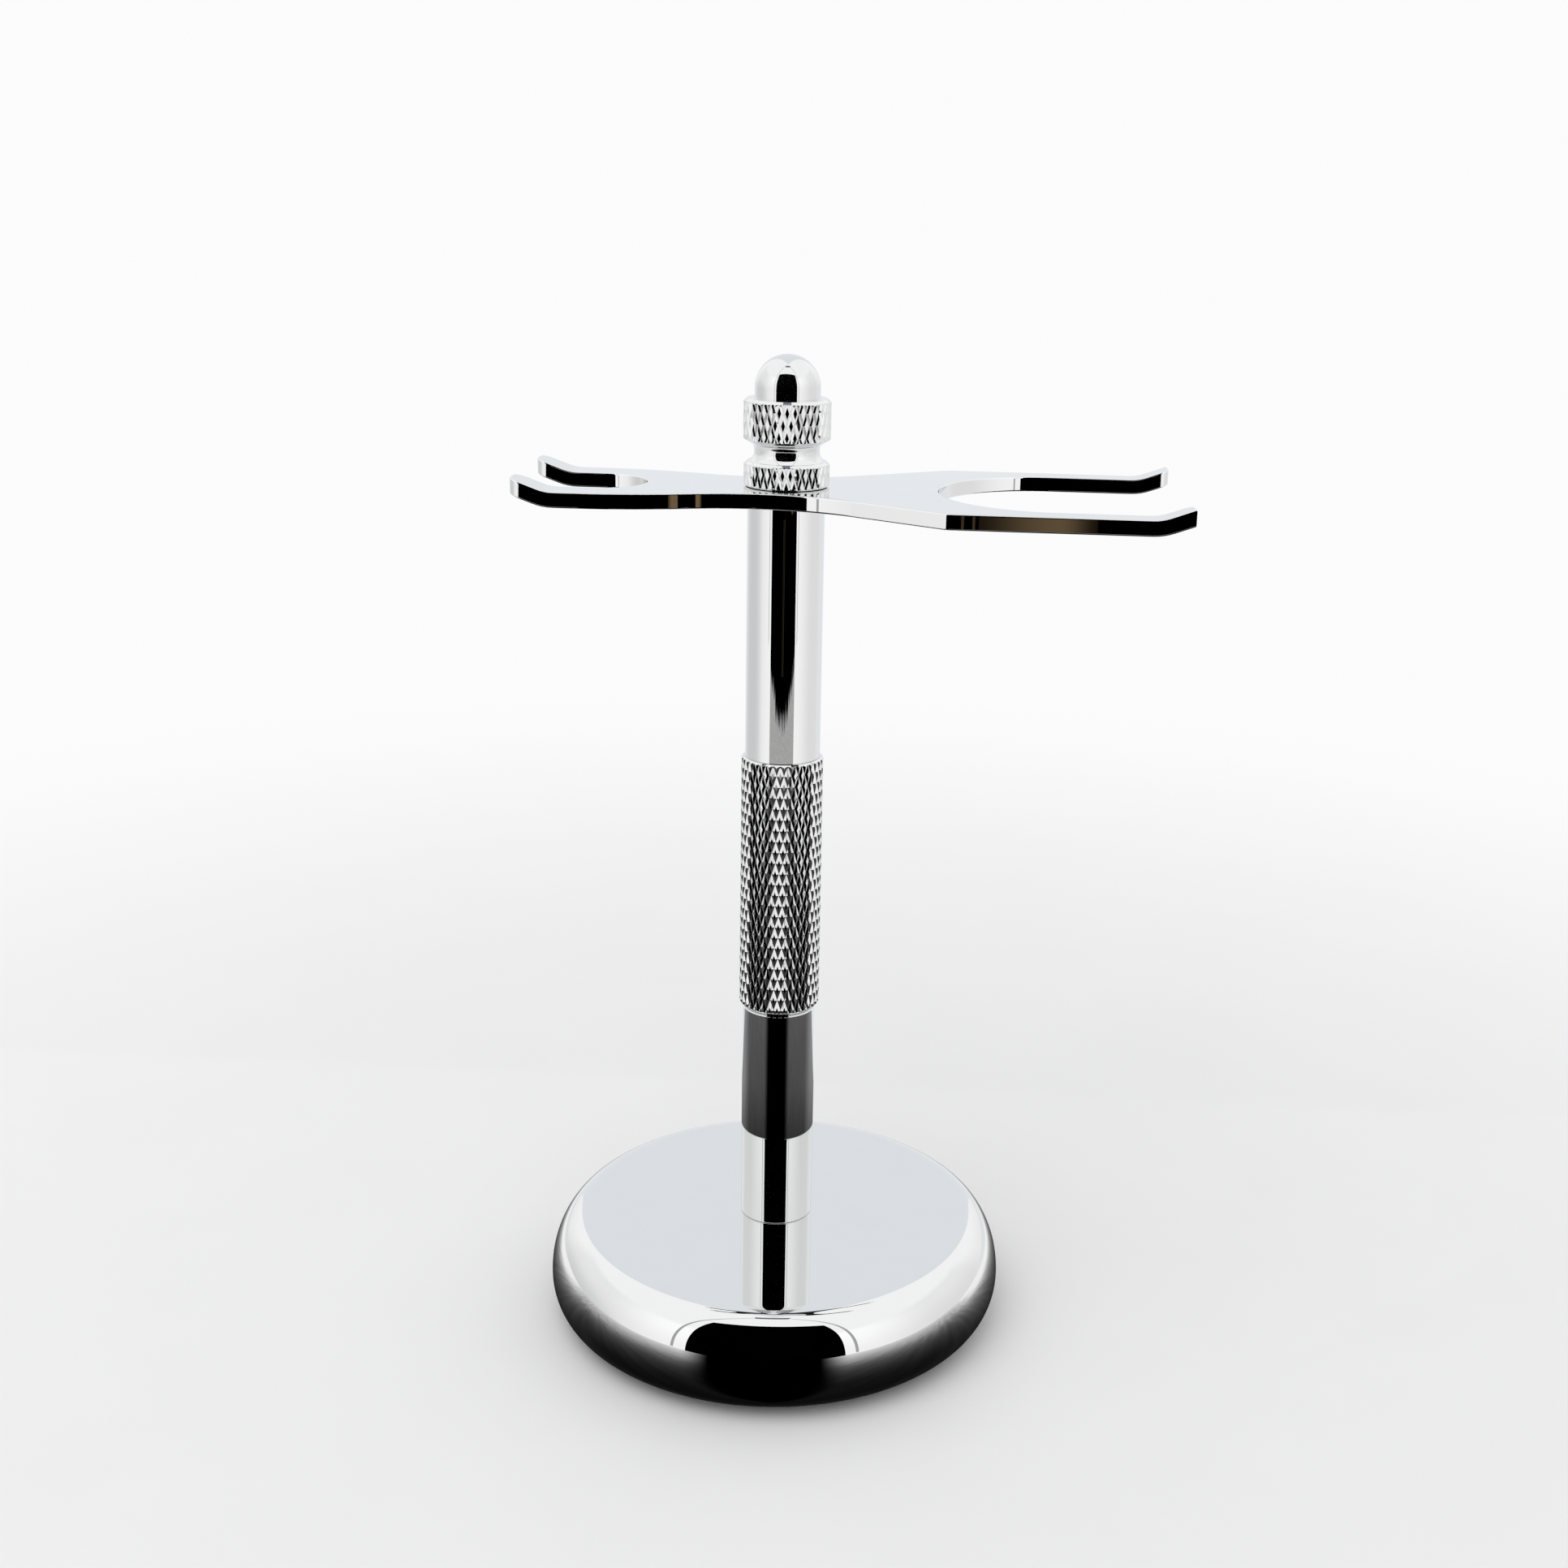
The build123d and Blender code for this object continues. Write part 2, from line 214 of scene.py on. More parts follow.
# ---- materials ----
def add(tree, kind, inputs=None, **properties):
    """Adds a shader node. Each input is a plain value or another node's output."""
    made = tree.nodes.new(kind)
    for key, value in properties.items():
        setattr(made, key, value)
    for key, value in (inputs or {}).items():
        if isinstance(value, bpy.types.NodeSocket):
            tree.links.new(value, made.inputs[key])
        else:
            made.inputs[key].default_value = value
    return made


def new_material(name):
    """An empty material, and the object's own coordinates."""
    material = bpy.data.materials.new(name)
    material.use_nodes = True
    tree = material.node_tree
    tree.nodes.clear()
    where = add(tree, "ShaderNodeTexCoord").outputs["Object"]
    return material, tree, where


def surface(tree, inputs):
    """The Principled surface at the end of a material."""
    shader = add(tree, "ShaderNodeBsdfPrincipled", inputs)
    add(tree, "ShaderNodeOutputMaterial", {"Surface": shader.outputs["BSDF"]})


def noise(tree, where, scale, detail=3.0, roughness=0.5):
    """A noise value from 0 to 1; the scale is in features per metre."""
    inputs = {"Vector": where, "Scale": scale, "Detail": detail, "Roughness": roughness}
    return add(tree, "ShaderNodeTexNoise", inputs).outputs["Fac"]


def spread(tree, value, start, end, to_start, to_end, kind="SMOOTHSTEP"):
    """Maps a value from one range to another, smoothly unless the kind says otherwise."""
    inputs = {"Value": value, "From Min": start, "From Max": end, "To Min": to_start, "To Max": to_end}
    return add(tree, "ShaderNodeMapRange", inputs, interpolation_type=kind).outputs["Result"]


def combine(tree, operation, first, second):
    """The result of an arithmetic operation on two values."""
    return add(tree, "ShaderNodeMath", {0: first, 1: second}, operation=operation).outputs["Value"]


def blend_colour(tree, share, first, second):
    """A colour between two colours, each a triple or another node's output."""
    mix = add(tree, "ShaderNodeMix", {"Factor": share}, data_type="RGBA")
    for key, colour in (("A", first), ("B", second)):
        if isinstance(colour, bpy.types.NodeSocket):
            tree.links.new(colour, mix.inputs[key])
        else:
            mix.inputs[key].default_value = (*colour, 1)
    return mix.outputs["Result"]


def scaled(tree, colour, share):
    """A colour made brighter or darker."""
    return add(tree, "ShaderNodeVectorMath", {0: colour, "Scale": share}, operation="SCALE").outputs["Vector"]


def split(tree, vector):
    """A vector's X, Y and Z."""
    return add(tree, "ShaderNodeSeparateXYZ", {"Vector": vector}).outputs


def length(tree, vector):
    """A vector's length."""
    return add(tree, "ShaderNodeVectorMath", {0: vector}, operation="LENGTH").outputs["Value"]


def level_length(tree, direction):
    """The length of a direction as seen from above."""
    level = add(tree, "ShaderNodeVectorMath", {0: direction, 1: (1, 1, 0)}, operation="MULTIPLY")
    return length(tree, level.outputs["Vector"])


def bump(tree, height, distance, strength=1.0):
    """A surface normal from a height value; the distance is in metres."""
    inputs = {"Height": height, "Distance": distance, "Strength": strength}
    return add(tree, "ShaderNodeBump", inputs).outputs["Normal"]


def chrome():
    """Mirror chrome with a faint polishing haze."""
    material, tree, where = new_material("chrome")
    haze = noise(tree, where, 260.0, detail=5.0, roughness=0.6)
    surface(tree, {
        "Base Color": blend_colour(tree, haze, (0.765, 0.77, 0.775), (0.785, 0.79, 0.795)),
        "Metallic": 1.0,
        "Roughness": spread(tree, haze, 0.35, 0.75, 0.008, 0.022),
        "Normal": bump(tree, noise(tree, where, 140.0), 0.0000012),
    })
    return material


def chrome_knurl():
    """The same plating over the knurls, a little duller all over, with a finer haze."""
    material, tree, where = new_material("chrome_knurl")
    haze = noise(tree, where, 900.0, detail=4.0, roughness=0.6)
    surface(tree, {
        "Base Color": blend_colour(tree, haze, (0.75, 0.755, 0.76), (0.785, 0.79, 0.795)),
        "Metallic": 1.0,
        "Roughness": spread(tree, haze, 0.35, 0.75, 0.04, 0.09),
    })
    return material


def cast_iron():
    """Painted cast iron with a lumpy skin."""
    material, tree, where = new_material("cast_iron")
    grain = noise(tree, where, 1400.0, detail=5.0, roughness=0.7)
    surface(tree, {
        "Base Color": blend_colour(tree, grain, (0.03, 0.03, 0.032), (0.09, 0.09, 0.095)),
        "Metallic": 0.2,
        "Roughness": spread(tree, grain, 0.3, 0.7, 0.45, 0.7),
        "Normal": bump(tree, grain, 0.0003),
    })
    return material


def plated_steel():
    """Bright zinc plating with a faint blue and yellow cast."""
    material, tree, where = new_material("plated_steel")
    tint = noise(tree, where, 320.0, detail=2.0)
    scratches = noise(tree, where, 4000.0, detail=2.0)
    surface(tree, {
        "Base Color": blend_colour(tree, tint, (0.62, 0.63, 0.66), (0.68, 0.66, 0.6)),
        "Metallic": 1.0,
        "Roughness": spread(tree, scratches, 0.3, 0.7, 0.2, 0.36),
        "Normal": bump(tree, scratches, 0.000006),
    })
    return material


def pad_foam():
    """Closed-cell black foam."""
    material, tree, where = new_material("pad_foam")
    cells = add(tree, "ShaderNodeTexVoronoi", {"Vector": where, "Scale": 2600.0}).outputs["Distance"]
    patches = noise(tree, where, 220.0)
    surface(tree, {
        "Base Color": blend_colour(tree, patches, (0.012, 0.012, 0.013), (0.03, 0.03, 0.031)),
        "Roughness": spread(tree, patches, 0.3, 0.7, 0.75, 0.92),
        "Normal": bump(tree, cells, 0.0002),
    })
    return material


def nylon():
    """Natural nylon: milky and slightly waxy."""
    material, tree, where = new_material("nylon")
    grain = noise(tree, where, 1800.0)
    surface(tree, {
        "Base Color": blend_colour(tree, grain, (0.74, 0.72, 0.65), (0.8, 0.78, 0.72)),
        "Roughness": spread(tree, grain, 0.3, 0.7, 0.35, 0.5),
        "Subsurface Weight": 0.3,
        "Subsurface Radius": (0.001, 0.001, 0.0008),
        "Normal": bump(tree, grain, 0.00002),
    })
    return material


CHROME = chrome()
CHROME_KNURL = chrome_knurl()
CAST_IRON = cast_iron()
PLATED_STEEL = plated_steel()
PAD_FOAM = pad_foam()
NYLON = nylon()


# ---- base ----
BASE_FLAT_RADIUS = 31.6
BASE_WIDEST_Z = 6.9
RIM_OUTER_RADIUS = 33.5
SHELL_WALL = 1.8
FLAT_EDGE = 0.4                   # a narrow ring of facets that keeps the flat top's shading flat
BOLT_HOLE_RADIUS = 3.3
PAD_HOLE_RADIUS = 8.0
PAD_EDGE_ROUND = 0.45


def base_cover():
    """The chromed cover: a flat disc with a rounded shoulder, turned under at the rim."""
    outer = radius("base_shell")
    top = high("base_shell")
    rim = low("base_shell")
    rim_inner = RIM_OUTER_RADIUS - SHELL_WALL
    under = (RIM_OUTER_RADIUS, BASE_WIDEST_Z)
    shoulder = (BASE_FLAT_RADIUS, BASE_WIDEST_Z)
    outline = [(rim_inner, rim), (RIM_OUTER_RADIUS, rim)]
    outline += ellipse(under, outer - under[0], BASE_WIDEST_Z - rim, -90, 0, 24)[1:]
    outline += ellipse(shoulder, outer - shoulder[0], top - BASE_WIDEST_Z, 0, 90, 40)[1:]
    outline += [(BASE_FLAT_RADIUS - FLAT_EDGE, top), (BOLT_HOLE_RADIUS, top)]
    outline += [(BOLT_HOLE_RADIUS, top - SHELL_WALL)]
    wall = SHELL_WALL
    outline += ellipse(shoulder, outer - shoulder[0] - wall, top - BASE_WIDEST_Z - wall, 90, 0, 16)
    inner_under = (rim_inner, BASE_WIDEST_Z)
    outline += ellipse(inner_under, outer - under[0], BASE_WIDEST_Z - rim - wall, 0, -90, 12)[1:]
    return turned("base_cover", outline, columns=360, closed=True)


def foot_ring():
    """The foam ring under the base, with softly rounded edges."""
    outer = radius("foot_pad")
    top = high("foot_pad")
    soft = PAD_EDGE_ROUND
    outline = ellipse((PAD_HOLE_RADIUS + soft, soft), soft, soft, 180, 270, 6)
    outline += ellipse((outer - soft, soft), soft, soft, 270, 360, 6)
    outline += [(outer, top), (PAD_HOLE_RADIUS, top)]
    return turned("foot_ring", outline, columns=180, closed=True)


place(base_cover(), "stand", "base_shell", CHROME)
place(foot_ring(), "stand", "foot_pad", PAD_FOAM)


# ---- post ----
TAPPED_RADIUS = 3.02
STEM_END_CHAMFER = 0.25
BUTT_CHAMFER = 0.12
GRIP_BOTTOM_CHAMFER = 0.9
GRIP_TOP_CHAMFER = 0.35
JOINT_TAP_DEPTH = 10.5
BOLT_TAP_DEPTH = 12.5
GRIP_STARTS = 34
GRIP_DIAMOND_HEIGHT = 3.62
GRIP_KNURL_LEVEL = 97.43
GRIP_KNURL_TURN = 0.3235
GRIP_KNURL_DEPTH = 0.24


def bar_outline(node, bottom_chamfer, top_chamfer, bottom_tap, top_tap, rows=(), rounded=False):
    """Half outline of a bar with a tapped hole in each end.

    Both ends are chamfered, unless the lower one is rounded.
    """
    outer = radius(node)
    bottom = low(node)
    top = high(node)
    if rounded:
        centre = (outer - bottom_chamfer, bottom + bottom_chamfer)
        lower_end = ellipse(centre, bottom_chamfer, bottom_chamfer, 270, 360, 8)
    else:
        lower_end = line((outer - bottom_chamfer, bottom), (outer, bottom + bottom_chamfer), CHAMFER_STEP)
    return [
        (0, bottom + bottom_tap),
        (TAPPED_RADIUS, bottom + bottom_tap),
        (TAPPED_RADIUS, bottom),
        *lower_end,
        *[(outer, row) for row in rows if bottom + bottom_chamfer < row < top - top_chamfer],
        *line((outer, top - top_chamfer), (outer - top_chamfer, top), CHAMFER_STEP),
        (TAPPED_RADIUS, top),
        (TAPPED_RADIUS, top - top_tap),
        (0, top - top_tap),
    ]


def grip():
    """The knurled middle of the post."""
    bottom = low("knurled_grip")
    top = high("knurled_grip")
    crest = radius("knurled_grip")
    knurl = Knurl(
        lambda height: crest,
        GRIP_KNURL_DEPTH,
        GRIP_STARTS,
        GRIP_DIAMOND_HEIGHT,
        GRIP_KNURL_LEVEL,
        GRIP_KNURL_TURN,
        steps=3,
    )
    rows = knurl.rows(bottom, top)
    outline = bar_outline(
        "knurled_grip", GRIP_BOTTOM_CHAMFER, GRIP_TOP_CHAMFER, JOINT_TAP_DEPTH, JOINT_TAP_DEPTH, rows
    )
    return turned("post_grip", outline, knurl.columns, knurl, sharp=KNURL_SHARP_EDGE)


lower_outline = bar_outline(
    "lower_stem", STEM_END_CHAMFER, BUTT_CHAMFER, BOLT_TAP_DEPTH, JOINT_TAP_DEPTH, rounded=True
)
upper_outline = bar_outline("upper_stem", BUTT_CHAMFER, BUTT_CHAMFER, JOINT_TAP_DEPTH, JOINT_TAP_DEPTH)
place(turned("post_lower", lower_outline), "stand", "lower_stem", CHROME)
place(turned("post_upper", upper_outline), "stand", "upper_stem", CHROME)
place(grip(), "stand", "knurled_grip", CHROME_KNURL)


# ---- studs ----
THREAD_RADIUS = 3.0
THREAD_PITCH = 1.0
THREAD_DEPTH = 0.6
THREAD_CHAMFER = 0.6
THREAD_COLUMNS = 64
THREAD_STEPS = 16                 # mesh rows to one pitch
THREAD_SHARP_EDGE = math.radians(60)


def threaded_stud(name, node):
    """A headless stud with a real helical thread and chamfered ends."""
    bottom = low(node)
    top = high(node)
    end_radius = THREAD_RADIUS - THREAD_CHAMFER
    step = THREAD_PITCH / THREAD_STEPS
    outline = [(0, bottom)]
    outline += line((end_radius, bottom), (THREAD_RADIUS, bottom + THREAD_CHAMFER), step)
    outline += line((THREAD_RADIUS, bottom + THREAD_CHAMFER), (THREAD_RADIUS, top - THREAD_CHAMFER), step)[1:]
    outline += line((THREAD_RADIUS, top - THREAD_CHAMFER), (end_radius, top), step)[1:]
    outline += [(0, top)]
    thread = Thread(THREAD_RADIUS, THREAD_DEPTH, THREAD_PITCH)
    return turned(name, outline, THREAD_COLUMNS, thread, sharp=THREAD_SHARP_EDGE)


for stud in ("lower_joint_stud", "upper_joint_stud", "top_stud"):
    place(threaded_stud("threaded_" + stud, stud), "stand", stud, PLATED_STEEL)


# ---- knob ----
LOWER_RING_RADIUS = 6.6
LOWER_RING_HEIGHT = 3.82
NECK_FOOT_RADIUS = 5.7
NECK_RADIUS = 5.05
NECK_HEIGHT = 5.22
NECK_TOP_RADIUS = 5.3
NECK_TOP_HEIGHT = 6.32
NECK_PULL_DOWN = 0.5              # how far the neck's curve keeps upright, each way from its waist
NECK_PULL_UP = 0.4
NECK_FOOT_PULL = (0.4, 0.45)      # inwards and up from the neck's foot
NECK_TOP_PULL = (0.2, 0.3)        # inwards and down from its top
UPPER_RING_BOTTOM = 7.22
UPPER_RING_TOP = 13.32
RING_CHAMFER = 0.5
DOME_RADIUS = 5.05
BORE_RADIUS = 3.05
BORE_DEPTH = 10.6
BORE_POINT = 1.76
RECESS_RADIUS = 5.6
RECESS_DEPTH = 0.7
KNOB_STARTS = 35
KNOB_DIAMOND_HEIGHT = 3.75
KNOB_KNURL_LEVEL = 13.55          # above the knob's bottom
KNOB_KNURL_TURN = 0.339
KNOB_KNURL_DEPTH = 0.19
WASHER_EDGE_ROUND = 0.12


def bezier(start, start_pull, end_pull, end, steps):
    """Points along a cubic curve."""
    points = []
    for step in range(steps + 1):
        t = step / steps
        weights = ((1 - t) ** 3, 3 * t * (1 - t) ** 2, 3 * t * t * (1 - t), t**3)
        corners = (start, start_pull, end_pull, end)
        points.append(tuple(sum(w * c[axis] for w, c in zip(weights, corners)) for axis in (0, 1)))
    return points


def knob():
    """The clamping knob: a dome on two knurled rings, with a waisted neck between them."""
    bottom = low("top_knob")
    top = high("top_knob")
    outer = radius("top_knob")
    knurl = Knurl(
        lambda height: LOWER_RING_RADIUS if height < bottom + NECK_HEIGHT else outer,
        KNOB_KNURL_DEPTH,
        KNOB_STARTS,
        KNOB_DIAMOND_HEIGHT,
        bottom + KNOB_KNURL_LEVEL,
        KNOB_KNURL_TURN,
        steps=2,
    )
    lower_top = bottom + LOWER_RING_HEIGHT
    upper_bottom = bottom + UPPER_RING_BOTTOM
    upper_top = bottom + UPPER_RING_TOP
    neck = (NECK_RADIUS, bottom + NECK_HEIGHT)
    neck_foot = (NECK_FOOT_RADIUS, lower_top)
    neck_top = (NECK_TOP_RADIUS, bottom + NECK_TOP_HEIGHT)
    foot_pull = (NECK_FOOT_RADIUS - NECK_FOOT_PULL[0], lower_top + NECK_FOOT_PULL[1])
    top_pull = (NECK_TOP_RADIUS - NECK_TOP_PULL[0], neck_top[1] - NECK_TOP_PULL[1])
    half_chamfer = RING_CHAMFER / 2
    inner_lower = LOWER_RING_RADIUS - RING_CHAMFER
    lower_rows = knurl.rows(bottom + half_chamfer, lower_top - RING_CHAMFER)
    upper_rows = knurl.rows(upper_bottom, upper_top - RING_CHAMFER)
    outline = [
        (0, bottom + BORE_DEPTH + BORE_POINT),
        (BORE_RADIUS, bottom + BORE_DEPTH),
        (BORE_RADIUS, bottom + RECESS_DEPTH),
        (RECESS_RADIUS, bottom + RECESS_DEPTH),
        (RECESS_RADIUS, bottom),
        *line(
            (LOWER_RING_RADIUS - half_chamfer, bottom),
            (LOWER_RING_RADIUS, bottom + half_chamfer),
            CHAMFER_STEP,
        ),
        *[(LOWER_RING_RADIUS, row) for row in lower_rows],
        *line((LOWER_RING_RADIUS, lower_top - RING_CHAMFER), (inner_lower, lower_top), CHAMFER_STEP),
        *bezier(neck_foot, foot_pull, (NECK_RADIUS, neck[1] - NECK_PULL_DOWN), neck, 8),
        *bezier(neck, (NECK_RADIUS, neck[1] + NECK_PULL_UP), top_pull, neck_top, 8)[1:],
        *line(neck_top, (outer, upper_bottom), 0.1)[1:],
        *[(outer, row) for row in upper_rows],
        *line((outer, upper_top - RING_CHAMFER), (outer - RING_CHAMFER, upper_top), CHAMFER_STEP),
        (DOME_RADIUS, upper_top),
        *ellipse((0, top - DOME_RADIUS), DOME_RADIUS, DOME_RADIUS, 0, 90, 32)[:-1],
        (0, top),
    ]
    return turned("clamp_knob", outline, knurl.columns, knurl, sharp=KNURL_SHARP_EDGE)


def seat_washer():
    """The thin nylon washer in the knob's recess."""
    outer = radius("knob_washer")
    bottom = low("knob_washer")
    top = high("knob_washer")
    edge = WASHER_EDGE_ROUND
    outline = ellipse((BOLT_HOLE_RADIUS + edge, bottom + edge), edge, edge, 180, 270, 4)
    outline += ellipse((outer - edge, bottom + edge), edge, edge, 270, 360, 4)
    outline += ellipse((outer - edge, top - edge), edge, edge, 0, 90, 4)
    outline += ellipse((BOLT_HOLE_RADIUS + edge, top - edge), edge, edge, 90, 180, 4)
    return turned("seat_washer", outline, columns=128, closed=True)


place(knob(), "knob", "top_knob", CHROME_KNURL)
place(seat_washer(), "washer", "knob_washer", NYLON)


# ---- CAD pieces that keep their own mesh ----
def repaint(node, material):
    """Gives a CAD node a finish."""
    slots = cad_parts[node].data.materials
    slots.clear()
    slots.append(material)


repaint("holder_plate", CHROME)
repaint("base_weight", CAST_IRON)
for hardware in ("stem_bolt", "bolt_lock_washer", "bolt_flat_washer"):
    repaint(hardware, PLATED_STEEL)


# ---- studio ----
CAMERA_PLACE = Vector((24.418, -308.203, 187.803))
CAMERA_AZIMUTH = math.radians(-2.699)      # from +Y towards +X
CAMERA_PITCH = math.radians(16.317)        # down
CAMERA_ROLL = math.radians(1.350)
CAMERA_LENS = 46.227
CAMERA_SHIFT = (-0.03844, -0.01766)
BACKDROP = (0.97, 0.97, 0.97)


def glowing(tree, colour):
    """Ends a material in plain glow. The colour is a triple or another node's output."""
    if not isinstance(colour, bpy.types.NodeSocket):
        colour = (*colour, 1)
    glow = add(tree, "ShaderNodeEmission", {"Color": colour})
    add(tree, "ShaderNodeOutputMaterial", {"Surface": glow.outputs["Emission"]})


def glow_material(colour):
    """A plain glow."""
    material, tree, _ = new_material("studio_glow")
    glowing(tree, colour)
    return material


def seen_from(tree, least_x, least_z, most_z=1.0):
    """1 where the eye's direction is between these limits, and 0 elsewhere."""
    to_eye = split(tree, add(tree, "ShaderNodeNewGeometry").outputs["Incoming"])
    right = combine(tree, "GREATER_THAN", to_eye["X"], least_x)
    above = combine(tree, "GREATER_THAN", to_eye["Z"], least_z)
    below = combine(tree, "LESS_THAN", to_eye["Z"], most_z)
    return combine(tree, "MULTIPLY", right, combine(tree, "MULTIPLY", above, below))


def tint_material(colour, dim_x, bright_x, least_x=-1.0, least_z=0.1, most_z=1.0):
    """A tint that brightens from one place to another, and shows only to mirrors well above it."""
    material, tree, where = new_material("studio_tint")
    fade = spread(tree, split(tree, where)["X"], dim_x * MM, bright_x * MM, 0.1, 1.0)
    share = combine(tree, "MULTIPLY", fade, seen_from(tree, least_x, least_z, most_z))
    glowing(tree, blend_colour(tree, share, (0, 0, 0), colour))
    return material


def card(name, corners, material):
    """A flat card that only mirrors see. Its corners are in millimetres."""
    data = bpy.data.meshes.new(name)
    data.from_pydata([Vector(corner) * MM for corner in corners], [], [range(len(corners))])
    data.materials.append(material)
    made = bpy.data.objects.new(name, data)
    bpy.context.scene.collection.objects.link(made)
    made.visible_camera = False
    made.visible_diffuse = False
    made.visible_transmission = False
    made.visible_shadow = False
    return made


def upright_card(name, sides, heights, distance, material):
    """A card in front of the post, facing it."""
    left, right = sides
    bottom, top = heights
    corners = [(left, bottom), (right, bottom), (right, top), (left, top)]
    return card(name, [(x, -distance, z) for x, z in corners], material)


# ---- the dark table, as the chrome reflects it ----
BOARD_SIDE = 200
BOARD_REACH = 305                 # its rounded front edge, from the post
BOARD_BACK = 84
BOARD_HEIGHT = 0.3
BOARD_STEPS = 24
BOARD_CONTACT = (38, 85)          # distances from the post where the base's shadow starts and ends
BOARD_CONTACT_LEAST = 0.12        # brightness left under the base's edge
BOARD_SHEEN = 0.04                # seen straight down
BOARD_SHEEN_POWER = 5.0           # how sharply the sheen grows towards edge on
BOARD_CARD_VIEW = (0.75, 0.9)     # how directly it mirrors the dark card where its sheen fades out
BOARD_FAR_GAIN = 2.8              # it is brighter where it mirrors the backdrop
BOARD_FAR_VIEW = (-0.1, -0.7)
BOARD_GRAIN = (40.0, 400.0, 1.0)  # features per metre, along and across the grain
BOARD_GRAIN_RANGE = (0.8, 1.1)
SURROUND = (1.07, 1.065, 1.055)


def board_material():
    """Dark polished wood as mirrors see it, painted as a glow: a painted sheen, bright where seen edge on
    except towards the dark card, and a painted shadow of the base.
    """
    material, tree, where = new_material("board")
    to_eye = add(tree, "ShaderNodeNewGeometry").outputs["Incoming"]
    parts = split(tree, to_eye)
    # Painted sheen: the table's reflection of the bright surround, growing towards edge on.
    edge_on = combine(tree, "POWER", combine(tree, "SUBTRACT", 1.0, parts["Z"]), BOARD_SHEEN_POWER)
    sheen = spread(tree, edge_on, 0.0, 1.0, BOARD_SHEEN, 1.0, kind="LINEAR")
    towards_card = combine(tree, "DIVIDE", parts["Y"], level_length(tree, to_eye))
    off_card = spread(tree, towards_card, *BOARD_CARD_VIEW, 1.0, 0.0)
    # Painted shadow of the base on the table: dim under the base's edge, full brightness further out.
    near, clear = (distance * MM for distance in BOARD_CONTACT)
    painted_base_shadow = spread(tree, length(tree, where), near, clear, BOARD_CONTACT_LEAST, 1.0, kind="LINEAR")
    backdrop = spread(tree, parts["Y"], *BOARD_FAR_VIEW, 1.0, BOARD_FAR_GAIN)
    stretched = add(tree, "ShaderNodeMapping", {"Vector": where, "Scale": BOARD_GRAIN}).outputs["Vector"]
    grain = spread(tree, noise(tree, stretched, 1.0, detail=4.0), 0.3, 0.7, *BOARD_GRAIN_RANGE)
    brightness = sheen
    for share in (off_card, painted_base_shadow, backdrop, grain):
        brightness = combine(tree, "MULTIPLY", brightness, share)
    glowing(tree, blend_colour(tree, brightness, (0, 0, 0), SURROUND))
    return material


def board():
    """The dark table top, in a flat outline with a rounded front."""
    corner = math.degrees(math.asin(BOARD_SIDE / BOARD_REACH))
    front = ellipse((0, 0), BOARD_REACH, BOARD_REACH, -90 - corner, -90 + corner, BOARD_STEPS)
    outline = front + [(BOARD_SIDE, BOARD_BACK), (-BOARD_SIDE, BOARD_BACK)]
    return card("board", [(x, y, BOARD_HEIGHT) for x, y in outline], board_material())


board()


# ---- the dark side of the room, as the chrome reflects it ----
CARD_DISTANCE = 372
CARD_SIDES = (-270, 280)
CARD_HEIGHTS = (-60, 640)
CLUTTER_TOP = 3                   # height on the front card where the speckle gives way to black
CLUTTER_RAGGED = 5                # how far its upper edge strays
CLUTTER_BLUR = 3
CLUTTER_LEAST_Z = 0.15            # seen only from this far up
CLUTTER_GREYS = ((0.3, 0.3, 0.3), (0.62, 0.61, 0.6))
OVERHEAD_HALF_WIDTH = 50          # a small dim card over the front of the base
OVERHEAD_FRONT = -95
OVERHEAD_BACK = -40
OVERHEAD_HEIGHT = 600
OVERHEAD_GREY = (0.2, 0.2, 0.25)
SEAM_GREY = (0.45, 0.45, 0.45)
SEAM_FOOT = 335                   # beside the front card
SEAM_WIDTH = 18
SEAM_END = (30, -60)              # where it ends overhead
TINT_DISTANCE = CARD_DISTANCE - 1
BROWN = (0.13, 0.088, 0.047)
BROWN_HEIGHTS = (66, 94)
BAND_HEIGHTS = (62, 84)
BROWN_BAND = (0.18, 0.12, 0.065)
BROWN_EDGE = (0.05, 0.03, 0.02)
BROWN_BAR = (0.05, 0.034, 0.02)
BROWN_LINE = (0.06, 0.05, 0.03)
BAR_LEFTS = (29.9, 33.5)
BAR_WIDTH = 0.8
LINE_LEFTS = (-8, 12)
LINE_WIDTH = 5
LINE_HEIGHTS = (20, 74)
# Where those things are seen from: the near sides of the two forks.
RAZOR_SIDE = {"least_z": 0.153, "most_z": 0.1645}
BRUSH_SIDE = {"least_x": -0.085, "least_z": 0.158, "most_z": 0.172}


def front_card_material():
    """The dark side of the room: black, with grey clutter below."""
    material, tree, where = new_material("front_card")
    stray = CLUTTER_RAGGED * MM
    ragged = spread(tree, noise(tree, where, 60.0, detail=6.0, roughness=0.7), 0.3, 0.7, -stray, stray)
    height = combine(tree, "ADD", split(tree, where)["Z"], ragged)
    start = (CLUTTER_TOP - CLUTTER_BLUR) * MM
    end = (CLUTTER_TOP + CLUTTER_BLUR) * MM
    low_down = spread(tree, height, start, end, 1.0, 0.0)
    share = combine(tree, "MULTIPLY", low_down, seen_from(tree, -1.0, CLUTTER_LEAST_Z))
    speckle = spread(tree, noise(tree, where, 500.0, detail=4.0, roughness=0.75), 0.35, 0.65, 0.0, 1.0)
    grey = blend_colour(tree, speckle, *CLUTTER_GREYS)
    glowing(tree, blend_colour(tree, share, (0, 0, 0), grey))
    return material


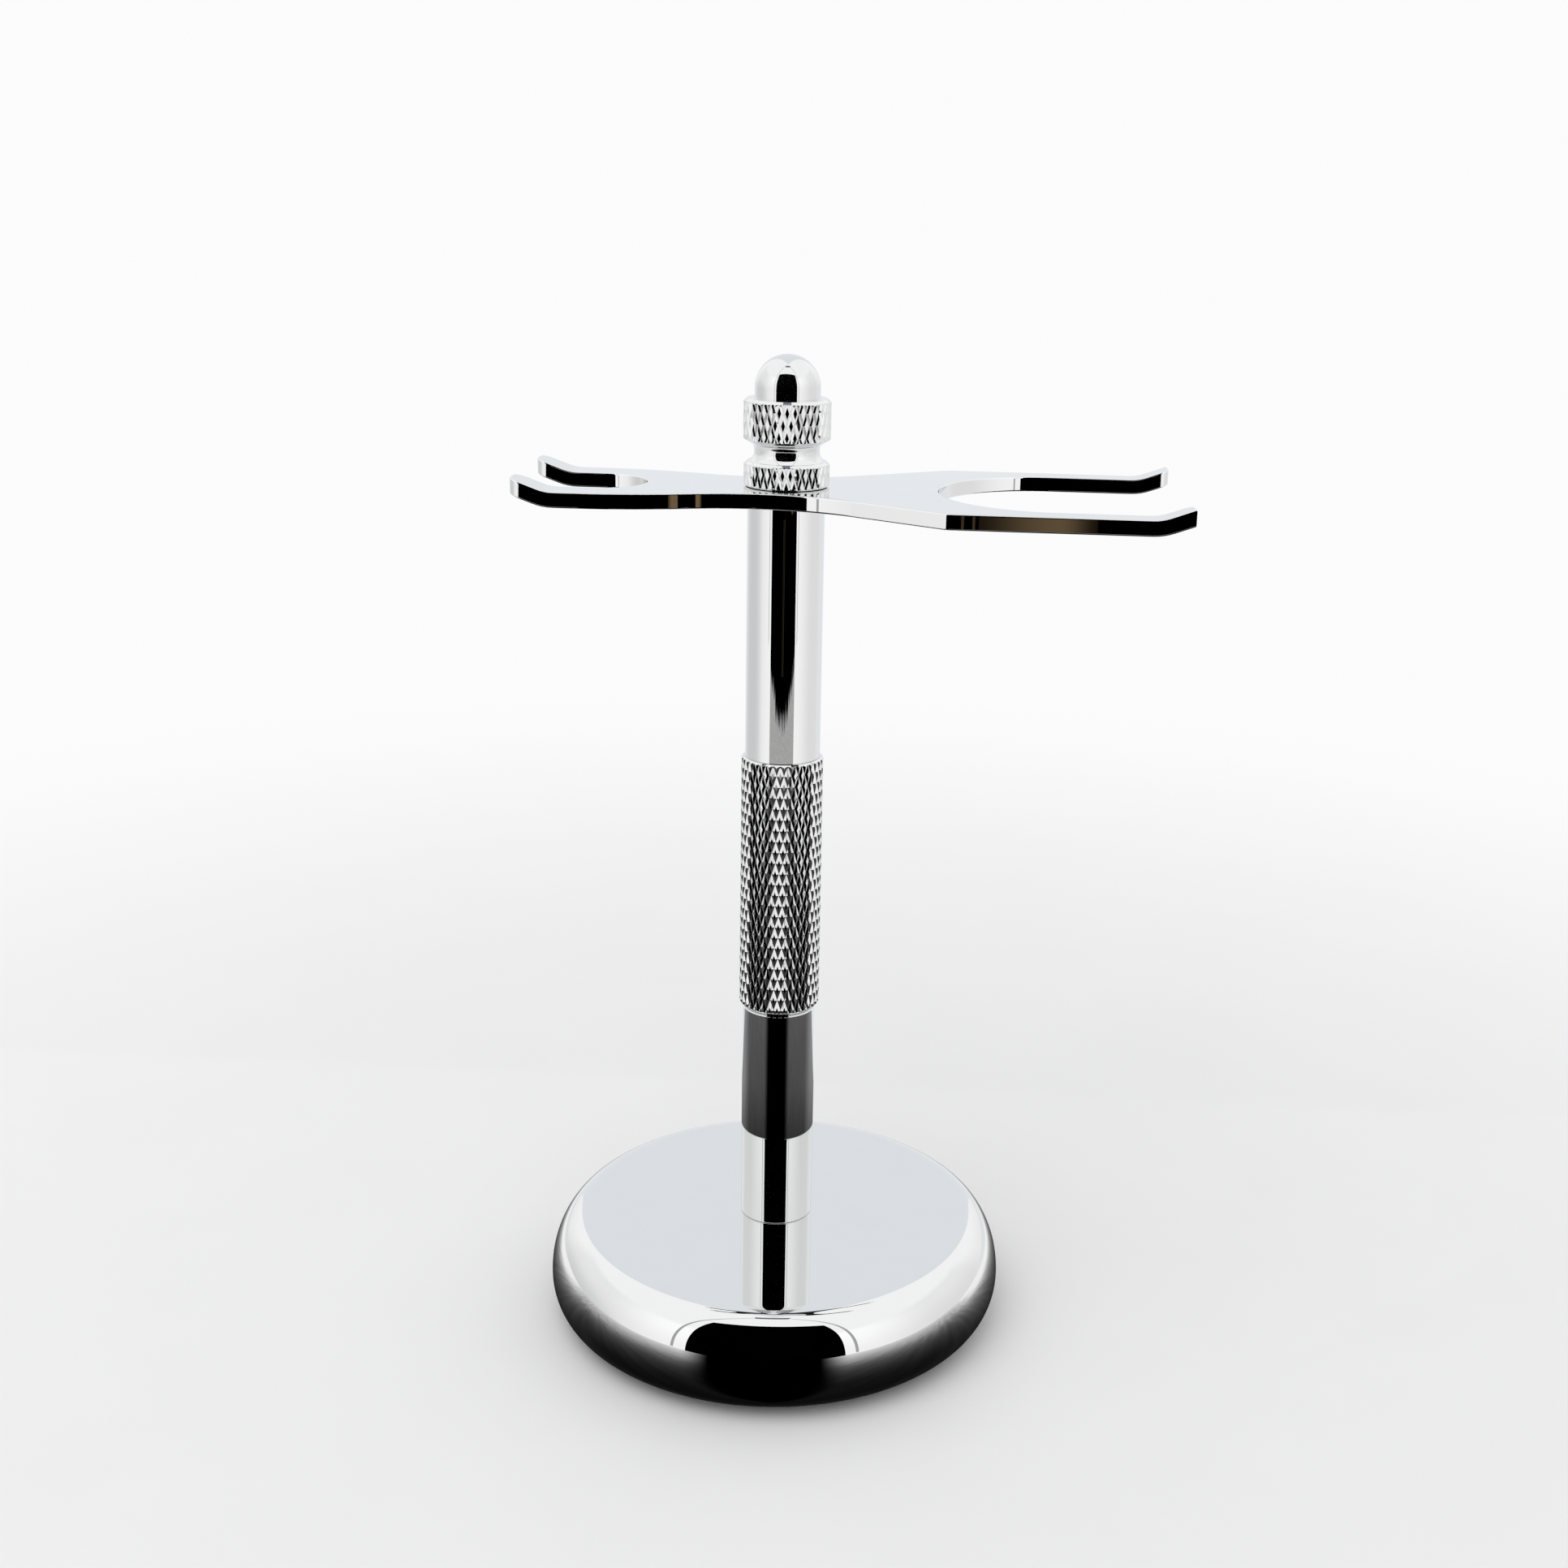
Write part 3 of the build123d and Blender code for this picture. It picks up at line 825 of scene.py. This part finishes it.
def overhead_dark():
    """A small dim card above, seen in the front of the base's top."""
    corners = [
        (-OVERHEAD_HALF_WIDTH, OVERHEAD_FRONT, OVERHEAD_HEIGHT),
        (OVERHEAD_HALF_WIDTH, OVERHEAD_FRONT, OVERHEAD_HEIGHT),
        (OVERHEAD_HALF_WIDTH, OVERHEAD_BACK, OVERHEAD_HEIGHT),
        (-OVERHEAD_HALF_WIDTH, OVERHEAD_BACK, OVERHEAD_HEIGHT),
    ]
    card("overhead_dark", corners, glow_material(OVERHEAD_GREY))


def seam(side, material):
    """A tent seam that rises beside the front card and runs in over the top."""
    foot = SEAM_FOOT * side
    width = SEAM_WIDTH * side
    top = CARD_HEIGHTS[1]
    end_x = SEAM_END[0] * side
    upright_card("seam", (foot, foot + width), (0, top), CARD_DISTANCE, material)
    near = [(end_x, SEAM_END[1], top), (end_x + width / 2, SEAM_END[1], top)]
    far = [(foot + width, -CARD_DISTANCE, top), (foot, -CARD_DISTANCE, top)]
    card("seam_top", near + far, material)


def brown_card(name, sides, heights, colour, fade, **limits):
    """Something brown before the dark card. It fades from one place to another."""
    upright_card(name, sides, heights, TINT_DISTANCE, tint_material(colour, *fade, **limits))


def brown_cards():
    """Brown things in the dark room, seen in the plate's edges and the post."""
    brown_card("brown_band", (140, 165), BAND_HEIGHTS, BROWN_BAND, (138, 152), **RAZOR_SIDE)
    brown_card("brown_edge", (185, 200), BAND_HEIGHTS, BROWN_EDGE, (180, 195), **RAZOR_SIDE)
    brown_card("brown_rise", (35.5, 60), BROWN_HEIGHTS, BROWN, (34, 60), **BRUSH_SIDE)
    brown_card("brown_fall", (60, 73), BROWN_HEIGHTS, BROWN, (73, 61), **BRUSH_SIDE)
    for left in BAR_LEFTS:
        brown_card("brown_bar", (left, left + BAR_WIDTH), BROWN_HEIGHTS, BROWN_BAR, (0, 1), **BRUSH_SIDE)
    for left in LINE_LEFTS:
        brown_card("brown_line", (left, left + LINE_WIDTH), LINE_HEIGHTS, BROWN_LINE, (left, left + 2))


upright_card("front_dark", CARD_SIDES, CARD_HEIGHTS, CARD_DISTANCE, front_card_material())
overhead_dark()
SEAM_MATERIAL = glow_material(SEAM_GREY)
for side in (-1, 1):
    seam(side, SEAM_MATERIAL)
brown_cards()


# ---- the white surround ----
PANEL_COLOUR = (0.885, 0.92, 0.95)    # the cool panel behind the object
PANEL_LEFT = 0.53                 # slopes of its edges seen from above
PANEL_RIGHT = 0.344
PANEL_BLUR = 0.01
PANEL_BELOW = (0.5, 0.85)         # its soft edge below the horizon, by how far back it lies
HORIZON_BLUR = 0.02
SIDES_LOW = (1.0, 0.995, 0.985)
SIDES_HIGH = (1.12, 1.12, 1.11)
SIDES_RISE = (-0.1, 0.5)          # heights between those two colours
SIDES_GAIN = (1.12, 0.9)          # towards the viewer's side, and beside the object
SIDES_GAIN_AT = (-0.8, 0.1)
SIDES_AHEAD = (0.5, 0.75)         # further back, that shading ends
SIDES_ABOVE = (0.5, 0.62)         # and so it does further up
LOW_LEFT = Vector((-0.82, 0.27, -0.5)).normalized()
LOW_LEFT_SPREAD = (0.7, 0.98)
LOW_LEFT_GREY = (0.72, 0.725, 0.73)
DIFFUSE_WHITE = (0.85, 0.85, 0.86)


def world_sides(tree, direction):
    """The white sides: brighter overhead and on the viewer's side."""
    parts = split(tree, direction)
    rise = spread(tree, parts["Z"], *SIDES_RISE, 0.0, 1.0)
    white = blend_colour(tree, rise, SIDES_LOW, SIDES_HIGH)
    forward = combine(tree, "DIVIDE", parts["Y"], level_length(tree, direction))
    gain = spread(tree, forward, *SIDES_GAIN_AT, *SIDES_GAIN)
    ahead = spread(tree, forward, *SIDES_AHEAD, 0.0, 1.0)
    high_up = spread(tree, parts["Z"], *SIDES_ABOVE, 0.0, 1.0)
    plain = combine(tree, "MAXIMUM", ahead, high_up)
    return blend_colour(tree, plain, scaled(tree, white, gain), white)


def world_panel(tree, direction):
    """The share of the cool panel: crisp sides above the horizon, and soft below it."""
    parts = split(tree, direction)
    from_left = combine(tree, "ADD", parts["X"], combine(tree, "MULTIPLY", parts["Y"], PANEL_LEFT))
    from_right = combine(tree, "SUBTRACT", combine(tree, "MULTIPLY", parts["Y"], PANEL_RIGHT), parts["X"])
    in_left = spread(tree, from_left, -PANEL_BLUR, PANEL_BLUR, 0.0, 1.0)
    in_right = spread(tree, from_right, -PANEL_BLUR, PANEL_BLUR, 0.0, 1.0)
    crisp = combine(tree, "MULTIPLY", in_left, in_right)
    soft = spread(tree, parts["Y"], *PANEL_BELOW, 0.0, 1.0)
    above = spread(tree, parts["Z"], -HORIZON_BLUR, HORIZON_BLUR, 0.0, 1.0)
    below = combine(tree, "SUBTRACT", 1.0, above)
    return combine(
        tree,
        "ADD",
        combine(tree, "MULTIPLY", above, crisp),
        combine(tree, "MULTIPLY", below, soft),
    )


def studio_world():
    """A white surround, with a cool panel behind the object and a dim patch at the low left."""
    world = bpy.data.worlds.new("studio")
    bpy.context.scene.world = world
    world.use_nodes = True
    tree = world.node_tree
    tree.nodes.clear()
    direction = add(tree, "ShaderNodeTexCoord").outputs["Generated"]
    mirrored = blend_colour(tree, world_panel(tree, direction), world_sides(tree, direction), PANEL_COLOUR)
    dot = add(tree, "ShaderNodeVectorMath", {0: direction, 1: LOW_LEFT}, operation="DOT_PRODUCT")
    to_left = spread(tree, dot.outputs["Value"], *LOW_LEFT_SPREAD, 0.0, 1.0)
    mirrored = blend_colour(tree, to_left, mirrored, LOW_LEFT_GREY)
    rays = add(tree, "ShaderNodeLightPath").outputs
    soft = blend_colour(tree, rays["Is Diffuse Ray"], mirrored, DIFFUSE_WHITE)
    seen = blend_colour(tree, rays["Is Camera Ray"], soft, BACKDROP)
    light = add(tree, "ShaderNodeBackground", {"Color": seen})
    add(tree, "ShaderNodeOutputWorld", {"Surface": light.outputs["Background"]})


# ---- floor, light and camera ----
FLOOR_SIZE = 3.0                  # metres
FLOOR_POOL = 0.09                 # the pale floor round the base, in metres from the post
FLOOR_FADE = 0.42                 # where it has become the backdrop
LIGHT_PLACE = Vector((-0.3, -0.35, 1.1))    # metres
LIGHT_SIZE = 0.9
LIGHT_POWER = 3.0


def floor():
    """A plain pale floor that fades into the backdrop. Mirrors see the board instead."""
    data = bpy.data.meshes.new("floor")
    size = FLOOR_SIZE
    data.from_pydata([(-size, -size, 0), (size, -size, 0), (size, size, 0), (-size, size, 0)], [], [range(4)])
    material, tree, where = new_material("floor")
    mottle = noise(tree, where, 30.0)
    matt = add(tree, "ShaderNodeBsdfPrincipled", {
        "Base Color": blend_colour(tree, mottle, (0.80, 0.80, 0.80), (0.83, 0.83, 0.83)),
        "Roughness": 0.7,
        "Specular IOR Level": 0.1,
    })
    glow = add(tree, "ShaderNodeEmission", {"Color": (*BACKDROP, 1)})
    faded = spread(tree, length(tree, where), FLOOR_POOL, FLOOR_FADE, 0.0, 1.0)
    mixed = add(tree, "ShaderNodeMixShader", {0: faded, 1: matt.outputs["BSDF"], 2: glow.outputs["Emission"]})
    add(tree, "ShaderNodeOutputMaterial", {"Surface": mixed.outputs["Shader"]})
    data.materials.append(material)
    made = bpy.data.objects.new("floor", data)
    bpy.context.scene.collection.objects.link(made)
    made.visible_glossy = False


def soft_light():
    """One large soft light from above."""
    data = bpy.data.lights.new("soft_light", "AREA")
    data.shape = "DISK"
    data.size = LIGHT_SIZE
    data.energy = LIGHT_POWER
    made = bpy.data.objects.new("soft_light", data)
    bpy.context.scene.collection.objects.link(made)
    made.location = LIGHT_PLACE
    made.rotation_euler = LIGHT_PLACE.to_track_quat("Z", "Y").to_euler()
    made.visible_glossy = False


def camera():
    """The camera, where the photographer stood."""
    forward = Vector((
        math.sin(CAMERA_AZIMUTH) * math.cos(CAMERA_PITCH),
        math.cos(CAMERA_AZIMUTH) * math.cos(CAMERA_PITCH),
        -math.sin(CAMERA_PITCH),
    ))
    level_right = Vector((math.cos(CAMERA_AZIMUTH), -math.sin(CAMERA_AZIMUTH), 0))
    level_up = level_right.cross(forward)
    right = math.cos(CAMERA_ROLL) * level_right + math.sin(CAMERA_ROLL) * level_up
    up = math.cos(CAMERA_ROLL) * level_up - math.sin(CAMERA_ROLL) * level_right
    data = bpy.data.cameras.new("camera")
    data.sensor_width = 36
    data.lens = CAMERA_LENS
    data.shift_x, data.shift_y = CAMERA_SHIFT
    data.clip_start = 0.01
    made = bpy.data.objects.new("camera", data)
    bpy.context.scene.collection.objects.link(made)
    turn = Matrix((right, up, -forward)).transposed().to_4x4()
    made.matrix_world = Matrix.Translation(CAMERA_PLACE * MM) @ turn
    bpy.context.scene.camera = made


studio_world()
floor()
soft_light()
camera()
bpy.context.scene.view_settings.view_transform = "Standard"
